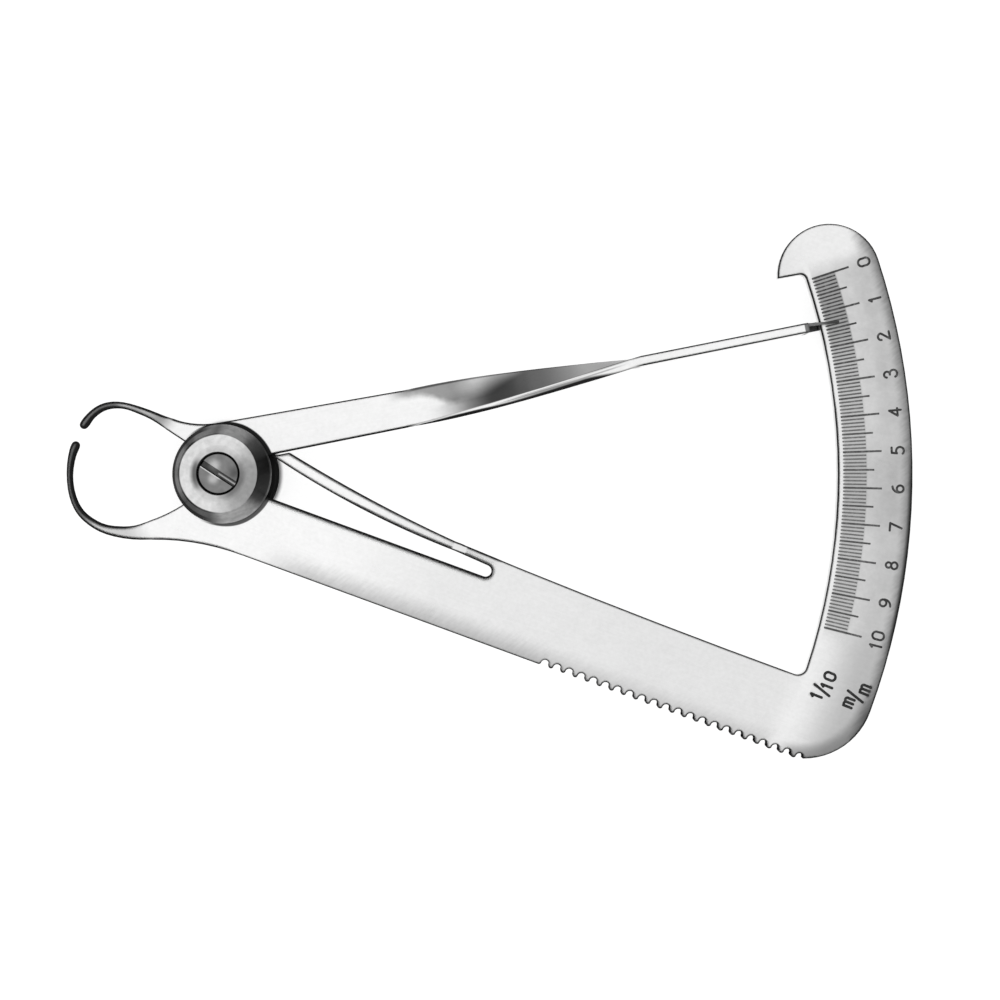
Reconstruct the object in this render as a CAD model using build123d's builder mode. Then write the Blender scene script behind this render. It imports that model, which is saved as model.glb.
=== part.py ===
from build123d import *

import os
from math import asin, cos, degrees, radians, sin, sqrt

# Dental wax caliper: a flat frame with a curved scale, and a pointer arm that turns on its pivot.
# Millimetres. Z is the pivot axis, the origin lies on it at the outer face of the back disc,
# X runs towards the scale and +Z towards the knob. The jaws stand a little open.

os.makedirs("parts", exist_ok=True)

# Sheet steel of the frame and the pointer arm
plate_thick = 1.6
edge_break = 0.15
cut_overrun = 1.0

# Back disc with its raised seat
back_radius = 6.2
back_thick = 2.8
back_bevel = 0.4
seat_radius = 4.0
seat_rise = 0.2

# Lap joint, where each plate is halved round the pivot
lap_radius = 4.4
lap_clearance = 0.04
swing_clearance = 0.2

# Bush, washers and screw
bush_radius = 2.0
bush_wall = 0.65
running_clearance = 0.03
fixed_clearance = 0.02
thrust_washer_thick = 0.2
thrust_washer_ring = 2.0
lock_washer_thick = 0.35
lock_washer_split = 0.4
head_radius = 2.3
head_thick = 1.2
head_dome = 0.22
head_gap = 0.23
driver_slot_width = 0.7
driver_slot_depth = 0.75
driver_slot_angle = -33.0

# Knob over the pivot
knob_radius = 5.87
knob_top_radius = 4.66
knob_height = 3.11
knob_rim = 0.22
knob_edge_round = 0.12

# Scale, read in tenths of a millimetre of jaw opening
scale_units = 10
unit_parts = 10
zero_angle = 18.3
scale_span = 32.6
reading = 1.36
sector_inner_radius = 73.0
sector_width = 8.8
tick_margin = 0.55
tick_gap = 1.05
tenth_tick_share = 0.6
half_tick_share = 0.8
tenth_tick_width = 0.19
half_tick_width = 0.22
unit_tick_width = 0.24
numeral_height = 1.65
numeral_width = 1.15
numeral_stroke = 0.27
numeral_margin = 0.95
numeral_spacing = 0.05
groove_depth = 0.1
paint_depth = 0.06

# Head of the scale, with the beak that stops the pointer past zero
crown_radius = 6.1
crown_back_angle = 0.15
beak_ahead_angle = 0.71
beak_tip_turn = 183.5
beak_fillet = 0.75

# Handle arm of the frame
arm_drop_angle = 5.84
arm_low_offset = 8.26
arm_high_offset = 1.07
arm_sag = 0.25
corner_radius = 8.4
corner_turn = 0.06
inner_fillet = 1.1
root_sweep_distance = 5.7

# Grip teeth along the lower edge of the arm
tooth_count = 23
tooth_pitch = 1.53
tooth_round = 0.3
tooth_lead = 3.1

# Slot and leaf spring, cut out of the arm
slot_end_distance = 33.2
slot_round = 0.72
slot_low_offset = 0.79
flexure_distance = 28.8
flexure_offset = 1.445
flexure_thick = 1.02
flexure_cut = 0.16
leaf_gap = 0.22
leaf_tip_start = 6.2
leaf_tip_length = 2.0
leaf_high_sag = 0.34
leaf_low_sag = 0.67

# Pointer arm: flat bar, quarter twist, upright blade and forked point
tip_overlap = 2.13
blade_offset = 3.35
bar_root_width = 4.9
bar_root_distance = 0.7
bar_width = 4.37
twist_start = 22.6
twist_end = 51.2
twist_steps = 9
twist_thin_share = 0.65
blade_thick = 1.15
blade_root_height = 4.15
blade_end_height = 3.4
blade_end_gap = 1.6
fork_clearance = 0.25
fork_floor_gap = 0.6
tine_thick = 0.42
tine_root_width = 0.38
tine_root_shift = 0.385
tine_point_width = 0.2
web_width = 0.25
web_shift = 0.325
lower_tine_width = 0.85
lower_tine_reach = 1.3

# Jaws
jaw_reach = 18.1
jaw_bar = 1.0
jaw_tip_height = 1.0
lower_root_angle = 218.5
upper_root_angle = 136.7
hub_reach_share = 0.97
joint_lap = 0.5
joint_step = 0.015

# Places down the middle of each jaw as shares of its reach, from the plate to the tip, with the
# width there as a share of the bar. The upper jaw is given where it closes on the lower one.
lower_jaw_shares = (
    (-0.474, -0.369, 2.26),
    (-0.553, -0.382, 1.81),
    (-0.631, -0.384, 1.50),
    (-0.709, -0.376, 1.26),
    (-0.788, -0.357, 1.03),
    (-0.873, -0.312, 0.86),
    (-0.937, -0.254, 0.75),
    (-0.980, -0.178, 0.67),
    (-1.003, -0.093, 0.62),
    (-1.010, 0.000, 0.63),
    (-1.003, 0.080, 0.75),
    (-0.989, 0.142, 0.88),
    (-0.971, 0.190, 0.92),
)
upper_jaw_shares = (
    (-0.381, 0.302, 1.45),
    (-0.443, 0.327, 1.14),
    (-0.503, 0.351, 0.98),
    (-0.584, 0.376, 0.88),
    (-0.664, 0.395, 0.80),
    (-0.743, 0.398, 0.80),
    (-0.819, 0.378, 0.83),
    (-0.867, 0.346, 0.88),
    (-0.905, 0.305, 0.92),
    (-0.939, 0.251, 0.95),
)
# Rounding of a jaw's end: how far past the last place, and how wide, as shares of half the bar
tip_round_shares = ((0.45, 0.88), (0.8, 0.6), (1.0, 0.2))
# How fast the height of a jaw falls from the plate's to the tip's, as shares of its places
jaw_fall_share = 0.75
jaw_corner_share = 0.28

# Strokes of each sign in its box: straight ones have two points, and arcs have three
sign_stroke_shares = {
    "0": (((0.0, 0.38), (0.0, 0.62)), ((0.0, 0.62), (0.5, 1.0), (1.0, 0.62)),
          ((1.0, 0.62), (1.0, 0.38)), ((1.0, 0.38), (0.5, 0.0), (0.0, 0.38))),
    "1": (((0.5, 0.0), (0.5, 1.0)), ((0.5, 1.0), (0.25, 0.8))),
    "2": (((0.05, 0.75), (0.5, 1.0), (0.92, 0.7)), ((0.92, 0.7), (0.0, 0.0)), ((0.0, 0.0), (1.0, 0.0))),
    "3": (((0.08, 0.86), (0.86, 0.78), (0.42, 0.55)), ((0.42, 0.55), (1.0, 0.28), (0.05, 0.12))),
    "4": (((0.75, 0.0), (0.75, 1.0)), ((0.75, 1.0), (0.0, 0.3)), ((0.0, 0.3), (1.0, 0.3))),
    "5": (((0.9, 1.0), (0.2, 1.0)), ((0.2, 1.0), (0.12, 0.55)), ((0.12, 0.55), (0.95, 0.32), (0.05, 0.06))),
    "6": (((0.8, 0.95), (0.15, 0.7), (0.04, 0.28)), ((0.04, 0.28), (0.5, 0.0), (0.96, 0.3)),
          ((0.96, 0.3), (0.5, 0.58), (0.04, 0.28))),
    "7": (((0.0, 1.0), (1.0, 1.0)), ((1.0, 1.0), (0.4, 0.0))),
    "8": (((0.14, 0.77), (0.5, 1.0), (0.86, 0.77)), ((0.86, 0.77), (0.5, 0.54), (0.14, 0.77)),
          ((0.04, 0.26), (0.5, 0.54), (0.96, 0.26)), ((0.96, 0.26), (0.5, 0.0), (0.04, 0.26))),
    "9": (((0.96, 0.72), (0.5, 1.0), (0.04, 0.7)), ((0.04, 0.7), (0.5, 0.42), (0.96, 0.72)),
          ((0.96, 0.72), (0.85, 0.3), (0.2, 0.05))),
    "m": (((-0.1, 0.0), (-0.1, 0.78)), ((-0.1, 0.58), (0.2, 0.8), (0.5, 0.56)), ((0.5, 0.56), (0.5, 0.0)),
          ((0.5, 0.56), (0.8, 0.8), (1.1, 0.56)), ((1.1, 0.56), (1.1, 0.0))),
    "/": (((0.1, -0.3), (0.9, 1.3)),),
}
# The label beyond the last unit: each sign with its place along the line and up from it, as
# shares of the numeral's width and height
label_sign_shares = (
    ("1", -1.36, 1.52), ("/", -0.64, 1.29), ("1", -0.06, 1.07), ("0", 0.98, 1.12),
    ("m", -0.81, -0.75), ("/", 0.03, -1.10), ("m", 1.04, -1.50),
)
label_turn = 5.04
label_lean = 2.36
label_inset = 4.14
label_stroke = 0.33

# Heights that follow from the stack on the pivot
plate_bottom = back_thick + seat_rise
plate_top = plate_bottom + plate_thick
plate_middle = plate_bottom + plate_thick / 2
frame_lap_top = plate_middle - lap_clearance / 2
pointer_lap_bottom = plate_middle + lap_clearance / 2
knob_bottom = plate_top + lap_clearance + thrust_washer_thick
knob_top = knob_bottom + knob_height
washer_top = knob_top - head_thick
washer_bottom = washer_top - lock_washer_thick
groove_bottom = plate_top - groove_depth

# Radii that fit on the pivot
shank_bore = bush_radius - bush_wall
shank_radius = shank_bore - fixed_clearance
recess_radius = lap_radius + swing_clearance

# Angles and radii that follow from the scale
unit_angle = scale_span / scale_units
full_angle = zero_angle - scale_span
open_angle = reading * unit_angle
sector_outer_radius = sector_inner_radius + sector_width
tip_radius = sector_inner_radius + tip_overlap
arm_angle = full_angle - arm_drop_angle
crown_angle = zero_angle - crown_back_angle
corner_angle = arm_angle - corner_turn
beak_angle = zero_angle + beak_ahead_angle
pointer_angle = zero_angle - open_angle - degrees(asin(blade_offset / tip_radius))
numeral_radius = sector_outer_radius - numeral_margin - numeral_height / 2
tick_radius = sector_inner_radius + tick_margin
unit_tick_length = numeral_radius - numeral_height / 2 - tick_gap - tick_radius


def polar(radius, angle):
    """Give the point at a radius and an angle round the pivot."""
    return Vector(radius * cos(radians(angle)), radius * sin(radians(angle)))


def on_arm(distance, offset):
    """Give the point at a distance along the frame's arm and an offset to its upper side."""
    return Vector(distance, offset).rotate(Axis.Z, arm_angle)


def on_pointer(distance, offset):
    """Give the point at a distance along the pointer arm and an offset to its upper side."""
    return Vector(distance, offset).rotate(Axis.Z, pointer_angle)


def jaw_places(shares, turn):
    """Give the middle, the direction and the width of a jaw at each of its places."""
    points = [(Vector(x, y) * jaw_reach).rotate(Axis.Z, turn) for x, y, _ in shares]
    ahead = points[1:] + [points[-1] * 2 - points[-2]]
    behind = [points[0] * 2 - points[1]] + points[:-1]
    directions = [(after - before).normalized() for before, after in zip(behind, ahead)]
    widths = [width_share * jaw_bar for _, _, width_share in shares]
    return list(zip(points, directions, widths))


def side_of(place, side):
    """Give the point on one side of a jaw's place: its left for a side of 1, its right for -1."""
    point, direction, width = place
    return point + direction.rotate(Axis.Z, 90) * (side * width / 2)


def side_way(places, side):
    """Give the way in which one side of a jaw leaves its plate."""
    return (side_of(places[1], side) - side_of(places[0], side)).normalized()


def bar_section(point, direction, twist, width, height, corner):
    """Give the section of a bar that is level with the sheet's middle and twisted by an angle."""
    left = direction.rotate(Axis.Z, 90)
    across = left * cos(radians(twist)) - Vector(0, 0, 1) * sin(radians(twist))
    plane = Plane(origin=(point.X, point.Y, plate_middle), x_dir=across, z_dir=direction)
    with BuildSketch(plane) as section:
        Rectangle(width, height)
        chamfer(section.vertices(), length=corner)
    return section.sketch.face()


def jaw_sections(places):
    """Give the sections of a jaw, from inside its plate to its round tip."""
    root, direction, root_width = places[0]
    next_root, _, next_width = places[1]
    widening = (root_width - next_width) / (next_root - root).length
    inner_width = root_width + widening * joint_lap - 2 * joint_step
    inner_height = plate_thick - 2 * joint_step
    inner = root - direction * joint_lap
    sections = [bar_section(inner, direction, 0, inner_width, inner_height, edge_break)]
    for index, (point, direction, width) in enumerate(places):
        fall = min(1, index / (len(places) - 1) / jaw_fall_share)
        step = joint_step * (1 - fall)
        width = width - 2 * step
        height = plate_thick * (1 - fall) + jaw_tip_height * fall - 2 * step
        corner = edge_break * (1 - fall) + jaw_corner_share * min(width, height) * fall
        sections.append(bar_section(point, direction, 0, width, height, corner))
    point, direction, width = places[-1]
    for past_share, size_share in tip_round_shares:
        end = point + direction * (past_share * width / 2)
        corner = jaw_corner_share * size_share * min(width, jaw_tip_height)
        sections.append(
            bar_section(end, direction, 0, size_share * width, size_share * jaw_tip_height, corner)
        )
    return sections


def plate_edges(builder, *joints):
    """Give the edges round a plate's two faces, but not the ring's or those across a joint."""
    edges = ShapeList()
    for edge in builder.edges().filter_by(Plane.XY):
        middle = Vector(edge.center().X, edge.center().Y)
        if middle.length > recess_radius and all((middle - joint).length > joint_lap for joint in joints):
            edges.append(edge)
    return edges


def mark_sketch(steps, length, width):
    """Give the sketch of the scale's marks at some of its steps."""
    with BuildSketch(Plane.XY.offset(groove_bottom)) as marks:
        for step in steps:
            angle = zero_angle - step * unit_angle / unit_parts
            with Locations(Location(polar(tick_radius + length / 2, angle), angle)):
                Rectangle(length, width)
    return marks.sketch


def numeral_places():
    """Give each digit of the scale with its middle and the angle that its top points away from."""
    places = []
    pitch = degrees((numeral_width + numeral_spacing) / numeral_radius)
    for unit in range(scale_units + 1):
        digits = str(unit)
        angle = zero_angle - unit * unit_angle
        for index, digit in enumerate(digits):
            shift = (index - (len(digits) - 1) / 2) * pitch
            places.append((digit, polar(numeral_radius, angle + shift), angle))
    return places


def label_places():
    """Give each sign of the label with its middle and the angle that its top points away from."""
    angle = full_angle - label_turn
    middle = polar(sector_outer_radius - label_inset, angle)
    lean = angle - label_lean
    places = []
    for sign, along_share, up_share in label_sign_shares:
        shift = Vector(-up_share * numeral_height, along_share * numeral_width).rotate(Axis.Z, lean)
        places.append((sign, middle + shift, lean))
    return places


def stroke_line(stroke, thick):
    """Give the middle line of one stroke of a sign, about the middle of its box."""
    box_width = numeral_width - thick
    box_height = numeral_height - thick
    points = [((x - 1 / 2) * box_width, (y - 1 / 2) * box_height) for x, y in stroke]
    if len(points) == 2:
        return Edge.make_line(*points)
    return Edge.make_three_point_arc(*points)


def sign_sketch(places, thick):
    """Give the sketch of some signs, each drawn with round-ended strokes of one thickness."""
    with BuildSketch(Plane.XY.offset(groove_bottom)) as signs:
        for sign, middle, angle in places:
            with Locations(Location(middle, angle + 90)):
                for stroke in sign_stroke_shares[sign]:
                    SlotArc(arc=stroke_line(stroke, thick), height=thick)
    return signs.sketch


def write_part(builder, name):
    """Label a finished piece and write its STEP file."""
    builder.part.label = name
    export_step(builder.part, f"parts/{name}.step")


# Places of the jaws, and the marks of the scale by size
lower_jaw = jaw_places(lower_jaw_shares, 0)
upper_jaw = jaw_places(upper_jaw_shares, -open_angle)
steps = range(scale_units * unit_parts + 1)
unit_steps = [step for step in steps if step % unit_parts == 0]
half_steps = [step for step in steps if step % unit_parts == unit_parts // 2]
tenth_steps = [step for step in steps if step not in unit_steps + half_steps]
unit_mark_sketch = mark_sketch(unit_steps, unit_tick_length, unit_tick_width)
half_mark_sketch = mark_sketch(half_steps, half_tick_share * unit_tick_length, half_tick_width)
tenth_mark_sketch = mark_sketch(tenth_steps, tenth_tick_share * unit_tick_length, tenth_tick_width)
numeral_sketch = sign_sketch(numeral_places(), numeral_stroke)
label_sketch = sign_sketch(label_places(), label_stroke)

# Corner of the frame beyond the scale's last unit, where its arc meets the arm's lower edge
corner_center = polar(sector_outer_radius - corner_radius, corner_angle)
corner_distance = (sector_outer_radius - corner_radius) * cos(radians(corner_turn))
corner_height = arm_low_offset - (sector_outer_radius - corner_radius) * sin(radians(corner_turn))
arm_end_distance = corner_distance + sqrt(corner_radius**2 - corner_height**2)
arm_end = on_arm(arm_end_distance, -arm_low_offset)
corner_end_angle = arm_angle - degrees(asin(corner_height / corner_radius))
corner_middle = corner_center + polar(corner_radius, (corner_end_angle + corner_angle) / 2)

# Head of the frame, with the beak's tip
crown_center = polar(sector_outer_radius - crown_radius, crown_angle)
crown_middle = crown_center + polar(crown_radius, (crown_angle + beak_tip_turn) / 2)
beak_tip = crown_center + polar(crown_radius, beak_tip_turn)
beak_root = polar(sector_inner_radius, beak_angle)

# Where the arm meets the scale's inner edge, and the leaf's flexure
arm_corner_angle = arm_angle + degrees(asin(arm_high_offset / sector_inner_radius))
arm_corner = polar(sector_inner_radius, arm_corner_angle)
flexure_high = flexure_offset + flexure_thick / 2
flexure_low = flexure_offset - flexure_thick / 2
stub_distance = flexure_distance + flexure_cut / 2
leaf_distance = flexure_distance - flexure_cut / 2
slot_high_offset = 2 * slot_round - slot_low_offset

# Row of grip teeth, which ends past the middle of the corner
last_tooth = corner_distance + tooth_lead
first_tooth = last_tooth - (tooth_count - 1) * tooth_pitch
teeth_middle = on_arm((first_tooth + last_tooth) / 2, tooth_round - arm_low_offset)

# Frame: the scale, the handle arm with its grip teeth, the ring round the pivot and the lower jaw
with BuildPart() as scale_frame:
    with BuildSketch(Plane.XY.offset(plate_bottom)):
        with BuildLine():
            jaw_edge = Spline(
                on_arm(root_sweep_distance, -arm_low_offset),
                side_of(lower_jaw[0], 1),
                tangents=(polar(-1, arm_angle), side_way(lower_jaw, 1)),
            )
            Line(side_of(lower_jaw[0], 1), side_of(lower_jaw[0], -1))
            root_edge = TangentArc(
                side_of(lower_jaw[0], -1),
                polar(hub_reach_share * lap_radius, lower_root_angle),
                tangent=-side_way(lower_jaw, -1),
            )
            Polyline(
                root_edge @ 1,
                on_arm(0, -slot_low_offset),
                on_arm(slot_end_distance, -slot_low_offset),
            )
            slot_end = ThreePointArc(
                on_arm(slot_end_distance, -slot_low_offset),
                on_arm(slot_end_distance + slot_round, slot_round - slot_low_offset),
                on_arm(slot_end_distance, slot_high_offset),
            )
            stub = Polyline(
                slot_end @ 1,
                on_arm(stub_distance, flexure_low),
                on_arm(stub_distance, flexure_high),
            )
            SagittaArc(arm_corner, stub @ 1, arm_sag)
            ThreePointArc(arm_corner, polar(sector_inner_radius, (arm_angle + beak_angle) / 2), beak_root)
            Line(beak_root, beak_tip)
            ThreePointArc(beak_tip, crown_middle, polar(sector_outer_radius, crown_angle))
            ThreePointArc(
                polar(sector_outer_radius, crown_angle),
                polar(sector_outer_radius, (crown_angle + corner_angle) / 2),
                polar(sector_outer_radius, corner_angle),
            )
            ThreePointArc(polar(sector_outer_radius, corner_angle), corner_middle, arm_end)
            Line(arm_end, jaw_edge @ 0)
        make_face()
        Circle(lap_radius)
    extrude(amount=plate_thick)
    corners = scale_frame.edges().filter_by(Axis.Z)
    fillet(corners.sort_by_distance(beak_root)[0], radius=beak_fillet)
    fillet(corners.sort_by_distance(arm_corner)[0], radius=inner_fillet)
    chamfer(plate_edges(scale_frame, lower_jaw[0][0]), length=edge_break)
    loft(sections=jaw_sections(lower_jaw))
    # Grip teeth: round notches below a row of rounded tips, which meet on one line
    with BuildSketch(Plane(origin=teeth_middle, x_dir=polar(1, arm_angle))):
        with Locations((0, -cut_overrun / 2)):
            Rectangle(last_tooth - first_tooth, cut_overrun)
        with GridLocations(tooth_pitch, tooth_pitch, tooth_count - 1, 1):
            Circle(tooth_pitch / 2 - tooth_round)
        with GridLocations(tooth_pitch, tooth_pitch, tooth_count, 1):
            Circle(tooth_round, mode=Mode.SUBTRACT)
    extrude(amount=plate_top + cut_overrun, mode=Mode.SUBTRACT)
    # The upper half of the ring makes room for the pointer arm
    with BuildSketch(Plane.XY.offset(frame_lap_top)):
        Circle(recess_radius)
    extrude(amount=plate_thick, mode=Mode.SUBTRACT)
    Hole(bush_radius + fixed_clearance)
    for sketch in (unit_mark_sketch, half_mark_sketch, tenth_mark_sketch, numeral_sketch, label_sketch):
        extrude(sketch, amount=groove_depth + cut_overrun, mode=Mode.SUBTRACT)
write_part(scale_frame, "scale_frame")

# Leaf spring that the slot cuts out of the arm, with its tip against the pointer arm
leaf_tip_offset = blade_offset - bar_width / 2 - leaf_gap
with BuildPart() as spring_leaf:
    with BuildSketch(Plane.XY.offset(plate_bottom)):
        with BuildLine():
            leaf_high = SagittaArc(
                on_arm(leaf_distance, flexure_high),
                on_pointer(leaf_tip_start + leaf_tip_length, leaf_tip_offset),
                leaf_high_sag,
            )
            leaf_low = SagittaArc(
                on_arm(leaf_distance, flexure_low),
                on_pointer(leaf_tip_start, leaf_tip_offset),
                leaf_low_sag,
            )
            Line(leaf_high @ 1, leaf_low @ 1)
            Line(leaf_low @ 0, leaf_high @ 0)
        make_face()
    extrude(amount=plate_thick)
    leaf_root = on_arm(leaf_distance, flexure_offset)
    chamfer(plate_edges(spring_leaf, leaf_root), length=edge_break)
write_part(spring_leaf, "spring_leaf")

# Pointer arm: ring round the pivot, upper jaw, flat bar, quarter twist, blade and forked point
tip_distance = sqrt(tip_radius**2 - blade_offset**2)
blade_end = sector_inner_radius - blade_end_gap
bar_low = blade_offset - bar_width / 2
with BuildPart() as pointer_arm:
    with BuildSketch(Plane.XY.offset(plate_bottom)):
        with BuildLine():
            bar_edge = Line(
                on_pointer(twist_start, bar_low + bar_width),
                on_pointer(bar_root_distance, bar_low + bar_root_width),
            )
            TangentArc(bar_edge @ 1, side_of(upper_jaw[0], -1), tangent=bar_edge % 1)
            Line(side_of(upper_jaw[0], -1), side_of(upper_jaw[0], 1))
            root_edge = TangentArc(
                side_of(upper_jaw[0], 1),
                polar(hub_reach_share * lap_radius, upper_root_angle),
                tangent=-side_way(upper_jaw, 1),
            )
            Polyline(
                root_edge @ 1,
                on_pointer(0, bar_low),
                on_pointer(twist_start, bar_low),
                bar_edge @ 0,
            )
        make_face()
        Circle(lap_radius)
    extrude(amount=plate_thick)
    bar_joint = on_pointer(twist_start, blade_offset)
    chamfer(plate_edges(pointer_arm, upper_jaw[0][0], bar_joint), length=edge_break)
    loft(sections=jaw_sections(upper_jaw))
    # The lower half of the ring makes room for the frame
    with BuildSketch(Plane.XY.offset(pointer_lap_bottom)):
        Circle(recess_radius)
    extrude(amount=-plate_thick, mode=Mode.SUBTRACT)
    Hole(bush_radius + running_clearance)
    # Quarter twist, whose lower edge turns up, and the upright blade
    forward = polar(1, pointer_angle)
    twist_sections = [
        bar_section(
            on_pointer(twist_start - joint_lap, blade_offset), forward, 0,
            bar_width - 2 * joint_step, plate_thick - 2 * joint_step, edge_break,
        )
    ]
    for step in range(twist_steps + 1):
        share = step / twist_steps
        thinning = min(1, share / twist_thin_share)
        step_in = joint_step if step == 0 else 0
        twist_sections.append(
            bar_section(
                on_pointer(twist_start + (twist_end - twist_start) * share, blade_offset),
                forward,
                90 * share,
                bar_width * (1 - share) + blade_root_height * share - 2 * step_in,
                plate_thick * (1 - thinning) + blade_thick * thinning - 2 * step_in,
                edge_break,
            )
        )
    loft(sections=twist_sections)
    blade_root = bar_section(
        on_pointer(twist_end, blade_offset), forward, 90, blade_root_height, blade_thick, edge_break
    )
    blade_tip = bar_section(
        on_pointer(blade_end, blade_offset), forward, 90, blade_end_height, blade_thick, edge_break
    )
    loft(sections=[blade_root, blade_tip], ruled=True)
    # Forked point: a tapering tine over the scale, a short one under it and the web between them
    tine_level = plate_top + fork_clearance
    fork_bottom = plate_bottom - fork_clearance - tine_thick
    fork_height = plate_thick + 2 * fork_clearance + 2 * tine_thick
    web_reach = sector_inner_radius - fork_floor_gap
    tine_reach = sector_inner_radius + lower_tine_reach
    for level, height, reach, root_shift, root_width, end_shift, end_width in (
        (tine_level, tine_thick, tip_distance, tine_root_shift, tine_root_width, 0, tine_point_width),
        (fork_bottom, tine_thick, tine_reach, 0, lower_tine_width, 0, lower_tine_width),
        (fork_bottom, fork_height, web_reach, web_shift, web_width, web_shift, web_width),
    ):
        with BuildSketch(Plane.XY.offset(level)):
            with BuildLine():
                Polyline(
                    on_pointer(blade_end - joint_lap, blade_offset + root_shift - root_width / 2),
                    on_pointer(reach, blade_offset + end_shift - end_width / 2),
                    on_pointer(reach, blade_offset + end_shift + end_width / 2),
                    on_pointer(blade_end - joint_lap, blade_offset + root_shift + root_width / 2),
                    close=True,
                )
            make_face()
        extrude(amount=height)
write_part(pointer_arm, "pointer_arm")

# Disc behind the pivot, tapped for the screw, with the raised seat that the frame lies on
with BuildPart() as back_disc:
    Cylinder(back_radius, back_thick, align=(Align.CENTER, Align.CENTER, Align.MIN))
    chamfer(back_disc.edges().group_by(Axis.Z)[0], length=back_bevel)
    chamfer(back_disc.edges().group_by(Axis.Z)[-1], length=edge_break)
    with BuildSketch(Plane.XY.offset(back_thick)):
        Circle(seat_radius)
    extrude(amount=seat_rise)
    Hole(shank_bore)
write_part(back_disc, "back_disc")

# Bush that the arm turns on, clamped between the back disc and the knob
with BuildPart() as pivot_bush:
    with BuildSketch(Plane.XY.offset(plate_bottom)):
        Circle(bush_radius)
        Circle(shank_bore, mode=Mode.SUBTRACT)
    extrude(amount=knob_bottom - plate_bottom)
write_part(pivot_bush, "pivot_bush")

# Washer between the turning arm and the knob
with BuildPart() as thrust_washer:
    with BuildSketch(Plane.XY.offset(plate_top + lap_clearance)):
        Circle(bush_radius + thrust_washer_ring)
        Circle(bush_radius + fixed_clearance, mode=Mode.SUBTRACT)
    extrude(amount=thrust_washer_thick)
write_part(thrust_washer, "thrust_washer")

# Knob: a turned disc with a low rim, a bevel, a flat top and a counterbore for the screw
with BuildPart() as front_knob:
    with BuildSketch(Plane.XZ):
        with BuildLine():
            Polyline(
                (0, knob_bottom),
                (knob_radius, knob_bottom),
                (knob_radius, knob_bottom + knob_rim),
                (knob_top_radius, knob_top),
                (0, knob_top),
                close=True,
            )
        make_face()
    revolve(axis=Axis.Z)
    fillet(front_knob.edges().group_by(Axis.Z)[-1], radius=knob_edge_round)
    with Locations((0, 0, knob_top)):
        CounterBoreHole(shank_bore, head_radius + head_gap, knob_top - washer_bottom)
write_part(front_knob, "front_knob")

# Split washer under the screw's head
with BuildPart() as lock_washer:
    with BuildSketch(Plane.XY.offset(washer_bottom)):
        Circle(head_radius)
        Circle(shank_radius + fixed_clearance, mode=Mode.SUBTRACT)
        with Locations((head_radius / 2 + shank_radius / 2, 0)):
            Rectangle(head_radius, lock_washer_split, mode=Mode.SUBTRACT)
    extrude(amount=lock_washer_thick)
write_part(lock_washer, "lock_washer")

# Screw with a domed and slotted head, in the knob's counterbore
with BuildPart() as pivot_screw:
    with BuildSketch(Plane.XZ):
        with BuildLine():
            Polyline(
                (0, knob_top),
                (0, 0),
                (shank_radius, 0),
                (shank_radius, washer_top),
                (head_radius, washer_top),
                (head_radius, knob_top - head_dome),
            )
            TangentArc((0, knob_top), (head_radius, knob_top - head_dome), tangent=(1, 0))
        make_face()
    revolve(axis=Axis.Z)
    chamfer(pivot_screw.edges().group_by(Axis.Z)[0], length=edge_break)
    with BuildSketch(Plane.XY.offset(knob_top)):
        with Locations(Location((0, 0), driver_slot_angle)):
            Rectangle(2 * head_radius + cut_overrun, driver_slot_width)
    extrude(amount=driver_slot_depth, both=True, mode=Mode.SUBTRACT)
write_part(pivot_screw, "pivot_screw")

# Dark paint in the grooves of the scale and its label
with BuildPart() as unit_marks:
    extrude(unit_mark_sketch, amount=paint_depth)
write_part(unit_marks, "unit_marks")

with BuildPart() as half_marks:
    extrude(half_mark_sketch, amount=paint_depth)
write_part(half_marks, "half_marks")

with BuildPart() as tenth_marks:
    extrude(tenth_mark_sketch, amount=paint_depth)
write_part(tenth_marks, "tenth_marks")

with BuildPart() as scale_numerals:
    extrude(numeral_sketch, amount=paint_depth)
write_part(scale_numerals, "scale_numerals")

with BuildPart() as unit_label:
    extrude(label_sketch, amount=paint_depth)
write_part(unit_label, "unit_label")
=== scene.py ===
"""Looks of a dental wax caliper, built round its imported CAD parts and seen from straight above.

Everything is in metres and in the frame of the CAD: Z is the pivot's axis, and the origin lies
on it at the outer face of the back disc. X runs towards the scale.
"""

import logging
import math
from dataclasses import dataclass
from enum import Enum

import bmesh
import bpy
from mathutils import Matrix, Vector


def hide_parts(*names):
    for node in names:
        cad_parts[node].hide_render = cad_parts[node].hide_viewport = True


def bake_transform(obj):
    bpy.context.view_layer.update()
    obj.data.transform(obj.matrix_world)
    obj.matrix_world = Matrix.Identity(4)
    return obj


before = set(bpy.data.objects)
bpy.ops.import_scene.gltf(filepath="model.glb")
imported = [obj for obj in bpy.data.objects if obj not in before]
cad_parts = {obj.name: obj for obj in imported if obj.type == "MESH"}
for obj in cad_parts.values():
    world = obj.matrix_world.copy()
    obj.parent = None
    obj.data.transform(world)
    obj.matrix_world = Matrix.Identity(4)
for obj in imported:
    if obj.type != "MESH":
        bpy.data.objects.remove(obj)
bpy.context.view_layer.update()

# A Ramp says where a level leaves 0 and where it reaches 1. A Patch is an amount, the centre that
# it is full at, and the radius at which it has gone.
Triple = tuple[float, float, float]
Ramp = tuple[float, float]
Patch = tuple[float, Triple, float]
Socket = bpy.types.NodeSocket

MM = 0.001
ORIGIN = (0.0, 0.0, 0.0)
BLACK = (0.0, 0.0, 0.0, 1.0)
WHITE = (1.0, 1.0, 1.0, 1.0)
log = logging.getLogger("wax_caliper")


class Grain(Enum):
    """Which way the fine lines of the last polish run."""

    STRAIGHT = "along the piece"
    ROUND = "round the pivot"


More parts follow.
